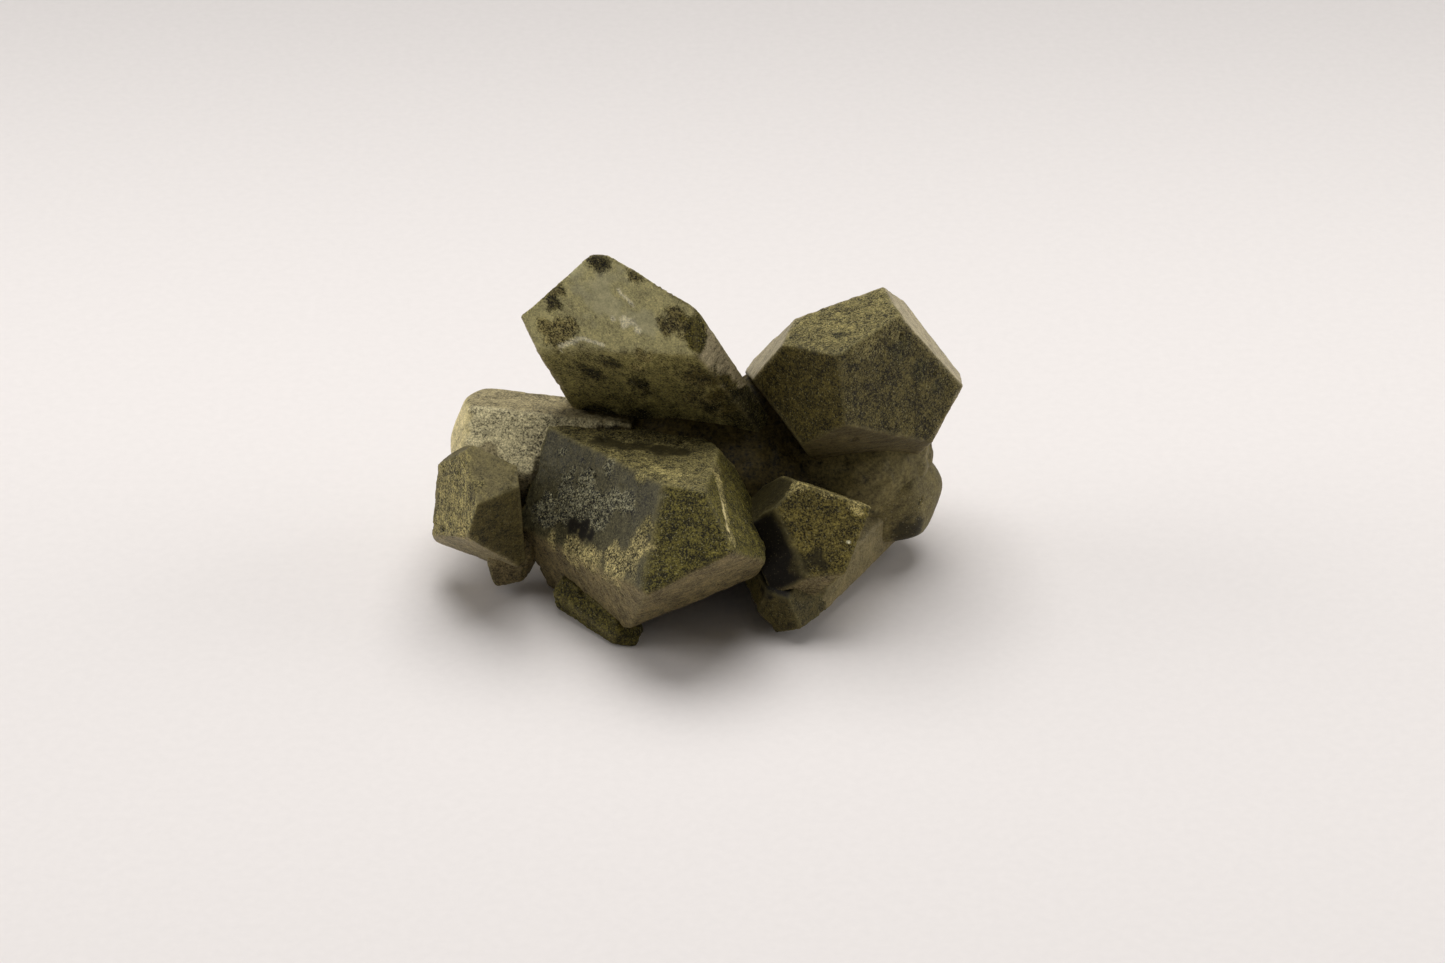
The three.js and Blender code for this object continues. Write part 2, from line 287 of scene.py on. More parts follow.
# %% Patches
# Where a face is not the same all over: a finish, then the turn of the face, how far the patch's
# middle lies along the axis from the seat and across from the face's own middle line, and its
# radius, all three in mm. A streak gives both its ends, as two heights and two distances across.
PATCHES = {
    "upper_left": [
        ("haze", 2, 7.5, -2.5, 3.3), ("haze", 2, 4, 1.5, 2.2), ("grit", 2, 4.5, -8.5, 2.2),
        ("sand", 2, 8.5, -7.5, 1.5), ("spot", 2, 11, -1.5, 1.2), ("spot", 2, 7, -8, 1.3),
        ("sand", 2, 4, 6, 2.2), ("moss", 2, 3.5, 8, 1.6), ("moss", 64, 1.5, 3, 1.4),
        ("sand", 2, 9.5, 2.5, 0.9), ("chip", 2, 4.5, 0, 0.8), ("chip", 2, 3.5, 1, 0.6),
        ("chip", 2, 5, -1.5, 0.4), ("chip", 2, (7.9, 6.3), (0, 1.3), 0.2),
        ("chip", 2, (2.4, 3.2), (-8.6, -5.8), 0.25), ("chip", 2, (3.2, 2.3), (-5.8, -3.4), 0.22),
        ("chip", 2, (2.4, 0.9), (-8.6, -9.3), 0.16), ("spot", -1, -2, -7, 1.6),
        ("spot", -1, -0.5, -3.5, 1.2), ("spot", -1, -5, -1.5, 1.8),
        ("grit", -1, -1.5, -0.5, 0.8), ("grit", -1, 0.5, 1, 1.2),
        ("spot", -1, -10.5, -8.5, 2), ("spot", -1, -12, -4.5, 2), ("sand", -1, -8.5, 6, 2.8),
        # the shade and spot patches low on face 64 are painted shade on the crystal's lower body
        ("sand", -1, -5, 6, 1.8), ("sand", -1, -7.5, 8.5, 1.8), ("crust", 64, -4, 0, 2.5),
        ("spot", -1, -7, 7, 0.9), ("spot", -1, -10, 5, 1), ("shade", 64, -7, 1, 2.5),
        ("spot", 64, -10, 3.5, 2.5), ("shade", 64, -11, 0, 2.5), ("spot", 64, -14, 3, 3)],
    "upper_right": [
        ("spot", 239, 3.5, 4.5, 1.5), ("spot", 239, 0, 3.5, 1.2), ("spot", 239, -3, 3, 0.8),
        ("spot", 239, 5.5, 6, 1), ("sand", 239, 7.5, 3, 1.8), ("sand", 4, 5, -4, 2),
        ("spot", 4, 6.5, 1, 0.8), ("crust", 119, 7, -3, 1.5), ("honey", 179, -7.5, -6, 0.8)],
    "front": [
        ("frost", 123, -11.5, 2.5, 2), ("frost", 123, -8.5, 1.5, 2.5), ("frost", 123, -5, 1, 2.5),
        ("frost", 123, -1.5, 0.5, 2.3), ("frost", 123, 1.5, -0.5, 1.8),
        ("frost", 123, -6, -2, 1.8), ("frost", 123, -10, -1, 1.5), ("frost", 123, -12, -4, 0.8),
        ("frost", 123, -3, -4, 1), ("jet", 123, -6, 3.4, 1), ("jet", 123, -4, 3.5, 1.1),
        ("jet", 123, -2.2, 3.7, 0.7), ("glass", 123, 1.5, 1, 1.4),
        ("druse", 123, -9, 6, 1.2), ("druse", 123, -5, 6.3, 1.7),
        ("druse", 123, -1, 6, 2.1), ("druse", 123, 3.5, 5.3, 2.5), ("druse", 123, 6.5, 2.5, 1.7),
        ("sand", 123, 7, 0, 1.2), ("grit", 54, 2.5, 6.5, 1.9), ("grit", 54, 5, 5.5, 1.6),
        # the deep patches on face 54 are painted shade under the upper left crystal
        ("deep", 54, -8, 5.5, 1.8), ("deep", 54, -5.5, 3.5, 1.7), ("deep", 54, -3, 2, 1.6),
        ("deep", 54, -1.5, 0, 1.2), ("honey", 2, (14.2, 7), (4.7, 5.6), 0.35),
        ("grit", 2, (14, 5), (4.4, 5.4), 0.8), ("honey", 2, (13, 9), (4.9, 5.3), 0.25),
        ("ridge", 2, 5, 5.8, 0.8), ("sand", 2, 3.5, 6, 1.4)],
    "left": [("ridge", 113, 4, 2.5, 1.6), ("sand", 113, 6, -2, 1.4)],
    "lower": [
        # these black patches are painted shade under the small front crystal
        ("jet", 240, 1.2, -1.8, 1.1), ("jet", 180, 1.5, 0, 1.3), ("jet", 120, 2, 1.5, 1),
        ("jet", 120, 1.2, -1.5, 0.9)],
    "back_left": [
        ("honey", 120, 9, 0.5, 1.8), ("honey", 120, 8.5, 2.5, 1.2), ("grey", 120, 5, -2.5, 1.6),
        ("deep", 120, -1.5, -3, 1.4), ("root", 120, -9.5, 1, 3.2), ("root", 180, -9.5, 0, 3.2)],
    "small_front": [
        # the deep and jet patches on faces 240 and 241 are painted shade from the front crystal
        ("deep", 240, -1, 3.5, 1.6), ("deep", 241, 1, 4, 1.5), ("jet", 240, -5, 1.5, 1.8),
        ("ridge", 241, 2.5, -5, 1.4), ("ridge", 241, 4.5, -2.5, 1), ("ridge", 241, 6, 0.5, 0.8),
        ("chip", 241, 4, 3.5, 0.2)],
    "right_back": [
        ("silver", 180, 3.5, 1.5, 1), ("grey", 180, 4.5, 0, 1.3), ("olive", 240, 5, -1, 1.2),
        ("honey", 240, 7, 0, 1.4), ("deep", 240, 2.5, 3, 2)],
}
print(len(CRYSTALS), "crystals with", sum(len(c[5]) for c in CRYSTALS.values()), "faces")

# %% [markdown]
# ## From planes to a solid
# Looking out from a point inside, the surface lies at the nearest plane in each direction. A
# plain "nearest" gives knife edges, so the planes are blended by a power sum, which leaves the
# faces flat and rounds the edges a little, as handling has. The directions come from a cube
# whose six sides are square grids, since a globe's poles would crowd.

# %% Directions
def cube_sphere(n):
    """Directions on a sphere, and four-cornered faces between them. Each cube side is an n by n
    grid whose lines stand at equal angles, tan(pi/4 * u) for u from -1 to 1. Grid points on the
    cube's edges belong to two or three sides and are kept once."""
    u = np.arange(n + 1)
    a, b = [g.ravel() for g in np.meshgrid(u, u, indexing="ij")]
    corner = np.arange(n)[:, None] * (n + 1) + np.arange(n)[None, :]
    corner = corner.ravel()
    square = np.stack([corner, corner + n + 1, corner + n + 2, corner + 1], axis=1)
    cells, faces = [], []
    for axis in range(3):
        for end in (0, n):
            cell = np.zeros((len(a), 3), np.int64)
            cell[:, axis] = end
            cell[:, (axis + 1) % 3], cell[:, (axis + 2) % 3] = a, b
            faces.append((square if end else square[:, ::-1]) + len(cells) * len(a))
            cells.append(cell)
    kept, number = np.unique(np.concatenate(cells), axis=0, return_inverse=True)
    way = np.tan(math.pi / 4 * (2 * kept / n - 1))
    way /= np.linalg.norm(way, axis=1, keepdims=True)
    return way, number.ravel()[np.concatenate(faces)]


# %% Pose and planes of one crystal
def about_z(angle):
    """A turn about the upright axis, in radians."""
    return np.array([[np.cos(angle), -np.sin(angle), 0],
                     [np.sin(angle), np.cos(angle), 0], [0, 0, 1]])


def crystal_turn(heading, climb, spin):
    """The crystal's own axes as columns: spun about its long axis, tipped down from upright to
    its climb, and turned to its heading."""
    h, t, s = np.radians([heading, 90 - climb, spin])
    tip = np.array([[np.cos(t), 0, np.sin(t)], [0, 1, 0], [-np.sin(t), 0, np.cos(t)]])
    return about_z(h) @ tip @ about_z(s)


def crystal_planes(seat, turn, root, faces):
    """Outward normals and distances from the origin of all the planes: the given faces, then one
    across the root and one at the floor."""
    around, slope = np.radians([[f[0], f[1]] for f in faces]).T
    own = np.stack([np.cos(around) * np.cos(slope), np.sin(around) * np.cos(slope), np.sin(slope)])
    normals = (turn @ own).T
    distances = normals @ seat + [f[2] for f in faces]
    normals = np.vstack([normals, -turn[:, 2], [0, 0, -1]])
    return normals, np.append(distances, [-turn[:, 2] @ seat + root, 0.0])


NEWTON_STEPS = 25                          # far more than it ever needs


def middle(normals, distances, start):
    """A point deep inside: Newton's steps towards the largest product of the distances to all
    planes, each step halved until it stays inside."""
    point = start.copy()
    for _ in range(NEWTON_STEPS):
        gap = distances - normals @ point
        pull = -(normals / gap[:, None]).sum(0)
        bend = -(normals.T / gap**2) @ normals
        step = -np.linalg.solve(bend, pull)
        while (distances - normals @ (point + step)).min() <= 0:
            step *= 0.5
        point += step
    return point


# %% Blended surface
def blended(normals, distances, centre, ways, power):
    """The surface point in each direction w from the centre c: r(w) = (sum of (w.n / d)^p)^(-1/p)
    over the planes that w points at, where d is each plane's distance from c. Its normal is
    the sum of (r w.n / d)^(p-1) n / d, made one long."""
    gap = distances - normals @ centre
    share = np.maximum(ways @ (normals / gap[:, None]).T, 0)
    top = share.max(axis=1, keepdims=True)
    reach = 1 / (top[:, 0] * ((share / top) ** power).sum(axis=1) ** (1 / power))
    pull = (share * reach[:, None]) ** (power - 1)
    out = pull @ (normals / gap[:, None])
    return centre + reach[:, None] * ways, out / np.linalg.norm(out, axis=1, keepdims=True)


ways, _ = cube_sphere(4)
print("a coarse cube sphere has", len(ways), "directions")

# %% [markdown]
# ## What the surface carries
# Each point of a crystal knows how far it is from every plane. The nearest plane names its
# finish, with a ragged border since the crust creeps over edges, and the second nearest says
# how close the edge is, where the stone is chipped and rubbed pale, with painted light showing
# through the thin stone. These become attributes on the mesh, so the materials can read them.

# %% Finish of each point
FINISH_ROWS = {name: np.array(row) for name, row in FINISHES.items()}
BORDER_SHAKE = 0.35                        # mm by which a border between finishes wanders
BORDER_BLUR = 0.12                         # mm over which one finish passes into the next
EDGE_REACH = 0.6                           # mm from an edge that are worn, and lit with painted light, with it
TINY = 1e-9                                # mm squared, keeps a division by zero away
PATCH_FADE = (1.25, 0.65)                  # in radii: where a patch starts, and where it is full


def away_from(points, start, end):
    """Distance to the line from start to end: each point's nearest place on it is start + t * way,
    with t = (point - start).way / way.way kept between 0 and 1. A round patch has way = 0."""
    way = end - start
    t = np.clip((points - start) @ way / max(way @ way, TINY), 0, 1)
    return np.linalg.norm(points - start - t[:, None] * way, axis=1)


def on_face(name, own_turn, seat, face_turn, along, across):
    """The point of a flat face at a height along the axis and a distance across from the middle
    line: the face stands (distance - along * sin(slope)) / cos(slope) out from the axis there."""
    _, slope, distance, _ = next(face for face in CRYSTALS[name][5] if face[0] == face_turn)
    around, slope = math.radians(face_turn), math.radians(slope)
    out = (distance - along * math.sin(slope)) / math.cos(slope)
    own = [out * math.cos(around) - across * math.sin(around),
           out * math.sin(around) + across * math.cos(around), along]
    return seat + own_turn @ own


def patch_ends(name, own_turn, seat, patch):
    """Both ends of a patch in space, which are the same point when it is round."""
    _, face_turn, along, across, _ = patch
    along, across = np.atleast_1d(along), np.atleast_1d(across)
    return [on_face(name, own_turn, seat, face_turn, along[i], across[i]) for i in (0, -1)]


def finish_points(name, points, normals, distances, seed, ends):
    """Weights fall as exp(-distance / 0.12 mm) from each plane, after the distances are shaken by
    up to a third of a millimetre, and the finishes are averaged with those weights. Patches are
    then laid over, each fading out round its radius, which is shaken far more. The edge value is
    1 on an edge and falls to 0 within 0.6 mm of it."""
    gap = distances - points @ normals.T
    edge = np.sort(np.abs(gap), axis=1)[:, 1]
    shakes = [rough(points, 1.6, seed + 31 * i, 3) for i in range(3)]
    shaken = gap + BORDER_SHAKE * np.stack([shakes[i % 3] for i in range(gap.shape[1])], axis=1)
    weight = np.exp(-(shaken - shaken.min(axis=1, keepdims=True)) / BORDER_BLUR)
    weight /= weight.sum(axis=1, keepdims=True)
    finishes = [face[3] for face in CRYSTALS[name][5]] + ["moss", "moss"]
    look = weight @ np.array([FINISH_ROWS[f] for f in finishes])
    broad, ragged = rough(points, 2.4, seed + 151, 2), rough(points, 0.8, seed + 131, 4)
    for (finish, _, _, _, radius), (start, end) in zip(PATCHES.get(name, []), ends):
        away = away_from(points, start, end) / radius
        away += broad * min(0.9, 0.5 * radius) + 0.8 * ragged * min(1, 0.6 + 0.3 / radius)
        cover = ease(*PATCH_FADE, away)[:, None]
        look = look * (1 - cover) + FINISH_ROWS[finish] * cover
    return look, ease(EDGE_REACH, 0.0, edge)


# %% Relief
WAVE, GROWTH, CRUST, PIT, CHIP = 0.09, 0.055, 0.13, 0.20, 0.25      # heights and depths, mm
GRAIN_SIZE = 0.45                          # mm
LINES_PER_MM = 2.6
LINE_WAVER = 0.12                          # how fast a line changes along itself, per mm


def relief(points, along, look, edge, seed):
    """Height over the flat face in mm: slow waves, growth lines across the long axis, a crust of
    grains where there is sand, a few pits, and chips bitten out of the edges."""
    sand, lines = look[:, 3], look[:, 4]
    wave = WAVE * rough(points, 7.0, seed, 3)
    shaken = along + 0.25 * rough(points, 2.5, seed + 11, 2)
    across = np.stack([shaken * LINES_PER_MM, LINE_WAVER * points[:, 0],
                       LINE_WAVER * points[:, 2]], axis=1)
    growth = GROWTH * lines * rough(across, 1.0, seed + 17, 3)
    gap, number = grains(points, GRAIN_SIZE, seed + 23)
    crust = CRUST * (0.55 - gap) * (0.3 + number) + CRUST * rough(points, 1.5, seed + 29, 5)
    crust = sand * crust
    pits = -PIT * ease(0.45, 0.70, rough(points, 1.0, seed + 37, 3)) * (0.25 + sand)
    chips = -CHIP * edge * ease(0.0, 0.6, rough(points, 1.3, seed + 41, 4))
    return wave + growth + crust + pits + chips


# %% Put a surface into the scene
def make_piece(name, points, faces, look, edge, along, material, nodes):
    """A mesh object at the origin, its place in its points (given in mm), with its attributes."""
    mesh = bpy.data.meshes.new(name)
    mesh.vertices.add(len(points))
    mesh.vertices.foreach_set("co", (points * MM).astype(np.float32).ravel())
    mesh.loops.add(faces.size)
    mesh.loops.foreach_set("vertex_index", faces.astype(np.int32).ravel())
    mesh.polygons.add(len(faces))
    mesh.polygons.foreach_set("loop_start", np.arange(0, faces.size, 4, dtype=np.int32))
    mesh.polygons.foreach_set("use_smooth", np.ones(len(faces), bool))
    mesh.update(calc_edges=True)
    tint = mesh.attributes.new("tint", "FLOAT_COLOR", "POINT")
    tint.data.foreach_set("color", np.column_stack([look[:, :3], np.ones(len(points))]).ravel())
    values = {"sand": look[:, 3], "lines": look[:, 4], "gloss": look[:, 5], "edge": edge,
              "along": along}
    for key, value in values.items():
        mesh.attributes.new(key, "FLOAT", "POINT").data.foreach_set("value", value)
    mesh.materials.append(material)
    piece = bpy.data.objects.new(name, mesh)
    bpy.context.scene.collection.objects.link(piece)
    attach(piece, "root")
    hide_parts(*nodes)
    print(f"{name}: {2 * len(faces)} triangles")
    return piece


# %% [markdown]
# ## The stone
# All the finishes share one recipe. The body colour is the points' tint, clouded slowly,
# mottled, made gritty with dark and bright grains where there is sand, and striped along the
# growth lines. Edges are rubbed pale by wear and by painted light showing through the thin
# stone, and the glassiest finishes get a thin glaze. The grit, the growth lines and the worn and
# lit edges are node groups, so that each stone can use them with its own values.

# %% Node helpers
def add_node(tree, kind, **settings):
    """A new node. Settings that are node properties are set on it, and the rest are inputs."""
    made = tree.nodes.new(kind)
    for key, value in settings.items():
        if key in made.bl_rna.properties:
            setattr(made, key, value)
        else:
            made.inputs[key.replace("_", " ")].default_value = value
    return made


def math_node(tree, operation, a, b=None, c=None, clamp=False):
    """A Math node: each input is a number or another node's output."""
    made = tree.nodes.new("ShaderNodeMath")
    made.operation, made.use_clamp = operation, clamp
    for socket, value in zip(made.inputs, (a, b, c)):
        if isinstance(value, bpy.types.NodeSocket):
            tree.links.new(value, socket)
        elif value is not None:
            socket.default_value = value
    return made.outputs[0]


def mix_colour(tree, factor, a, b, blend="MIX"):
    """A colour Mix node: each input is a colour, a number or another node's output."""
    made = tree.nodes.new("ShaderNodeMix")
    made.data_type, made.blend_type = "RGBA", blend
    sockets = [made.inputs["Factor"], made.inputs[6], made.inputs[7]]
    for socket, value in zip(sockets, (factor, a, b)):
        if isinstance(value, bpy.types.NodeSocket):
            tree.links.new(value, socket)
        else:
            socket.default_value = value
    return made.outputs[2]


def new_group(name, inputs, outputs):
    """An empty shader node group with named sockets, each given as name: kind or (kind, default)."""
    tree = bpy.data.node_groups.new(name, "ShaderNodeTree")
    for in_out, sockets in (("INPUT", inputs), ("OUTPUT", outputs)):
        for key, kind in sockets.items():
            kind, default = kind if isinstance(kind, tuple) else (kind, None)
            made = tree.interface.new_socket(key, in_out=in_out, socket_type="NodeSocket" + kind)
            if default is not None:
                made.default_value = default
    return tree, tree.nodes.new("NodeGroupInput"), tree.nodes.new("NodeGroupOutput")


# %% Grit
GRIT_CONTRAST = 4.2                        # stretches the noise to run from about -1 to 1
BRIGHT_GRAINS = (0.45, 0.75)               # a cell's own number, less the distance to its middle

grit, entry, result = new_group(
    "grit", {"Place": "Vector", "Grain": ("Float", 0.3)},
    {"Shade": "Float", "Light": "Float", "Height": "Float"})
scale = math_node(grit, "DIVIDE", 1.0, entry.outputs["Grain"])   # grains per mm
fine = add_node(grit, "ShaderNodeTexNoise", Detail=3.0, Roughness=0.75)
cells = add_node(grit, "ShaderNodeTexVoronoi", feature="F1")
for texture in (cells, fine):
    grit.links.new(entry.outputs["Place"], texture.inputs["Vector"])
    grit.links.new(scale, texture.inputs["Scale"])
parts = add_node(grit, "ShaderNodeSeparateColor")
grit.links.new(cells.outputs["Color"], parts.inputs[0])
grit.links.new(math_node(grit, "MULTIPLY_ADD", fine.outputs["Fac"], GRIT_CONTRAST,
                         -GRIT_CONTRAST / 2), result.inputs["Shade"])
bright = math_node(grit, "SUBTRACT", parts.outputs[0], cells.outputs["Distance"])
light = add_node(grit, "ShaderNodeMapRange", interpolation_type="SMOOTHSTEP",
                 From_Min=BRIGHT_GRAINS[0], From_Max=BRIGHT_GRAINS[1])
grit.links.new(bright, light.inputs["Value"])
grit.links.new(light.outputs[0], result.inputs["Light"])
grit.links.new(math_node(grit, "MULTIPLY_ADD", light.outputs[0], 0.5, fine.outputs["Fac"]),
               result.inputs["Height"])

# %% Growth lines
LINE_BEND = 1.2                            # mm by which a line strays along the crystal
LINE_RATE = 6.0                            # noise steps per mm along the crystal

growth_lines, entry, result = new_group(
    "growth_lines", {"Place": "Vector", "Along": "Float"}, {"Value": "Float"})
slow = add_node(growth_lines, "ShaderNodeTexNoise", Scale=0.5, Detail=2.0)
growth_lines.links.new(entry.outputs["Place"], slow.inputs["Vector"])
bent = math_node(growth_lines, "MULTIPLY_ADD", slow.outputs["Fac"], LINE_BEND, entry.outputs["Along"])
stripes = add_node(growth_lines, "ShaderNodeTexNoise", noise_dimensions="4D", Scale=0.35,
                   Detail=4.0, Roughness=0.7)
growth_lines.links.new(entry.outputs["Place"], stripes.inputs["Vector"])
growth_lines.links.new(math_node(growth_lines, "MULTIPLY", bent, LINE_RATE), stripes.inputs["W"])
growth_lines.links.new(stripes.outputs["Fac"], result.inputs["Value"])

# %% Worn and lit edges
# the noise alone, stretched and lowered by the two numbers below, is seldom above 0, but with the 1
# that an edge adds it nearly always is, so an edge is rubbed and painted light all along, and flat
# stone hardly at all
WEAR_AND_LIGHT_SPREAD, WEAR_AND_LIGHT_LOSS = 1.6, 1.05

worn_lit_edges, entry, result = new_group(
    "worn_lit_edges", {"Place": "Vector", "Edge": "Float"}, {"Mask": "Float"})
bite = add_node(worn_lit_edges, "ShaderNodeTexNoise", Scale=1.4, Detail=4.0, Roughness=0.65)
worn_lit_edges.links.new(entry.outputs["Place"], bite.inputs["Vector"])
raised = math_node(worn_lit_edges, "MULTIPLY_ADD", bite.outputs["Fac"], WEAR_AND_LIGHT_SPREAD, -WEAR_AND_LIGHT_LOSS)
worn_lit_edges.links.new(
    math_node(worn_lit_edges, "ADD", raised, entry.outputs["Edge"], clamp=True),
    result.inputs["Mask"])
print("node groups:", [g.name for g in bpy.data.node_groups])


# %% Use of a group
def use_group(tree, source, place, **inputs):
    """A node group at a place, its other inputs given as numbers or as other nodes' outputs."""
    made = tree.nodes.new("ShaderNodeGroup")
    made.node_tree = source
    tree.links.new(place, made.inputs["Place"])
    for key, value in inputs.items():
        if isinstance(value, bpy.types.NodeSocket):
            tree.links.new(value, made.inputs[key])
        else:
            made.inputs[key].default_value = value
    return made.outputs


# %% Shade of the stone
# how strongly each kind of unevenness lightens and darkens the stone
CLOUD = 0.35
MOTTLE_BY_SAND = 2.6                       # sand adds this many times the bare stone's mottle
FINE_GRIT, COARSE_GRIT = 2.3, 1.1
STRIPE = 1.7
DARKEST = 0.12                             # no grain is darker than this share of the tint


def stone_shade(tree, read, clouds, mottle, fine, coarse, stripe):
    """The number that the tint is multiplied by: about 1, plus each unevenness in turn."""
    shade = math_node(tree, "MULTIPLY_ADD", clouds, 2 * CLOUD, 1 - CLOUD)
    rougher = math_node(tree, "MULTIPLY_ADD", read["sand"], MOTTLE_BY_SAND, 1.0)
    uneven = math_node(tree, "SUBTRACT", mottle, 0.5)
    shade = math_node(tree, "MULTIPLY_ADD", uneven, rougher, shade)
    for grains_of_one_size, strength in ((fine, FINE_GRIT), (coarse, COARSE_GRIT)):
        by_sand = math_node(tree, "MULTIPLY", read["sand"], strength)
        shade = math_node(tree, "MULTIPLY_ADD", grains_of_one_size["Shade"], by_sand, shade)
    shade = math_node(tree, "MULTIPLY_ADD", stripe, STRIPE, shade)
    return math_node(tree, "MAXIMUM", shade, DARKEST)


# %% Surface of the stone
DULLEST, GLOSS_EFFECT, CLOUD_DULLING = 0.70, -0.40, 0.12            # roughness
GLAZE_FROM, GLAZE_MOST, GLAZE_ROUGHNESS = 0.45, 0.45, 0.18          # gloss, coat, roughness
REFLECTANCE = 0.22                         # under the usual 0.5, as grit scatters the shine
STRIPE_HEIGHT = 1.2                        # of a growth line, when a grain of fine grit is 1
BUMP, BUMP_HEIGHT = 0.6, 0.12 * MM


def stone_surface(tree, shader, read, clouds, fine, stripe):
    """Roughness falls with gloss, a glaze grows with it, and grit and stripes stand up."""
    dull = math_node(tree, "MULTIPLY_ADD", read["gloss"], GLOSS_EFFECT, DULLEST)
    dull = math_node(tree, "MULTIPLY_ADD", clouds, CLOUD_DULLING, dull)
    tree.links.new(dull, shader.inputs["Roughness"])
    glaze = add_node(tree, "ShaderNodeMapRange", From_Min=GLAZE_FROM, From_Max=1.0,
                     To_Max=GLAZE_MOST)
    tree.links.new(read["gloss"], glaze.inputs["Value"])
    tree.links.new(glaze.outputs[0], shader.inputs["Coat Weight"])
    shader.inputs["Coat Roughness"].default_value = GLAZE_ROUGHNESS
    shader.inputs["Specular IOR Level"].default_value = REFLECTANCE
    height = math_node(tree, "MULTIPLY", fine["Height"], read["sand"])
    height = math_node(tree, "MULTIPLY_ADD", stripe, STRIPE_HEIGHT, height)
    bump = add_node(tree, "ShaderNodeBump", Strength=BUMP, Distance=BUMP_HEIGHT)
    tree.links.new(height, bump.inputs["Height"])
    tree.links.new(bump.outputs[0], shader.inputs["Normal"])


# %% Stone material
COARSER = 2.7                              # coarse grit is this many times as large as fine
RUBBED_AND_LIT = 0.30                              # share of the pale colour on an edge: wear, and painted light through thin stone


def stone(name, grain, light_colour, rub_and_light_colour, speckle):
    """Tint times shade, with bright grains by the speckle share, and edges made pale by wear and by
    painted light.
    """
    material = bpy.data.materials.new(name)
    material.use_nodes = True
    tree = material.node_tree
    shader = tree.nodes["Principled BSDF"]
    read = {}
    for key in ("tint", "sand", "lines", "gloss", "edge", "along"):
        made = add_node(tree, "ShaderNodeAttribute", attribute_name=key)
        read[key] = made.outputs["Color" if key == "tint" else "Fac"]
    where = add_node(tree, "ShaderNodeTexCoord")
    to_mm = add_node(tree, "ShaderNodeVectorMath", operation="SCALE", Scale=1 / MM)
    tree.links.new(where.outputs["Object"], to_mm.inputs[0])
    place = to_mm.outputs[0]

    fine = use_group(tree, grit, place, Grain=grain)
    coarse = use_group(tree, grit, place, Grain=grain * COARSER)
    lined = use_group(tree, growth_lines, place, Along=read["along"])["Value"]
    worn_and_lit = use_group(tree, worn_lit_edges, place, Edge=read["edge"])["Mask"]
    clouds = add_node(tree, "ShaderNodeTexNoise", Scale=0.16, Detail=5.0, Roughness=0.6)
    mottle = add_node(tree, "ShaderNodeTexNoise", Scale=0.6, Detail=5.0, Roughness=0.7)
    for texture in (clouds, mottle):
        tree.links.new(place, texture.inputs["Vector"])
    clouds, mottle = clouds.outputs["Fac"], mottle.outputs["Fac"]
    stripe = math_node(tree, "SUBTRACT", lined, 0.5)
    stripe = math_node(tree, "MULTIPLY", stripe, read["lines"])

    shade = stone_shade(tree, read, clouds, mottle, fine, coarse, stripe)
    body = mix_colour(tree, 1.0, read["tint"], shade, "MULTIPLY")
    speck = math_node(tree, "MULTIPLY", fine["Light"], read["sand"])
    body = mix_colour(tree, math_node(tree, "MULTIPLY", speck, speckle), body, light_colour)
    rub_and_light = math_node(tree, "MULTIPLY", worn_and_lit, RUBBED_AND_LIT)
    body = mix_colour(tree, rub_and_light, body, rub_and_light_colour)
    tree.links.new(body, shader.inputs["Base Color"])
    stone_surface(tree, shader, read, clouds, fine, stripe)
    return material


# %% The three stones
GREEN = stone("green_quartz", grain=0.20, light_colour=(0.46, 0.41, 0.21, 1),
              rub_and_light_colour=(0.26, 0.22, 0.09, 1), speckle=0.50)
PALE = stone("pale_quartz", grain=0.22, light_colour=(0.66, 0.60, 0.42, 1),
             rub_and_light_colour=(0.42, 0.36, 0.20, 1), speckle=0.50)
ROOT = stone("root_quartz", grain=0.36, light_colour=(0.12, 0.10, 0.04, 1),
             rub_and_light_colour=(0.10, 0.08, 0.03, 1), speckle=0.15)
print("materials:", [m.name for m in bpy.data.materials])

# %% [markdown]
# ## Growing the crystals
# Each crystal is blended from its planes, given its finish point by point, and lifted or bitten
# along its own normals. The large crystals get the finest grids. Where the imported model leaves
# a hair's gap between two crystals, these pass a little into each other, as they grew.

# %% Make the crystals
SMALL_GRID = 72                            # squares along a side of a small crystal's cube
TIP_CROWD = 1.25                           # draws the grid towards both ends of the crystal
GRIDS = {"upper_left": 126, "upper_right": 126, "front": 126, "left": 100, "small_front": 100,
         "back_left": 90}
# blending powers of the crystals whose edges are not crisp
EDGE_POWER = {"back_left": 32, "right_back": 16, "low_right": 40, "foot": 24, "left_nub": 16}
CRISP = 150                                # blending power of the others
PALE_CRYSTALS = ("back_left", "low_right", "right_back")


def grow(name, seed):
    """One crystal's points in mm, its faces, and what each point carries."""
    seat, heading, climb, spin, root, faces = CRYSTALS[name]
    seat = np.array(seat) + GROUP_SHIFT
    turn = crystal_turn(heading, climb, spin)
    normals, distances = crystal_planes(seat, turn, root, faces)
    centre = middle(normals, distances, seat)
    sphere, squares = cube_sphere(GRIDS.get(name, SMALL_GRID))
    sphere = (sphere * [1, 1, TIP_CROWD]) @ turn.T
    sphere /= np.linalg.norm(sphere, axis=1, keepdims=True)
    power = EDGE_POWER.get(name, CRISP)
    points, out = blended(normals, distances, centre, sphere, power)
    ends = [patch_ends(name, turn, seat, patch) for patch in PATCHES.get(name, [])]
    look, edge = finish_points(name, points, normals, distances, seed, ends)
    along = (points - seat) @ turn[:, 2]
    points = points + out * relief(points, along, look, edge, seed)[:, None]
    points[:, 2] = np.maximum(points[:, 2], 0)
    return points, squares, look, edge, along


for number, name in enumerate(CRYSTALS):
    points, squares, look, edge, along = grow(name, 100 * number + 5)
    pale = name in PALE_CRYSTALS
    make_piece(name + "_point", points, squares, look, edge, along, PALE if pale else GREEN,
               [name + "_crystal"])
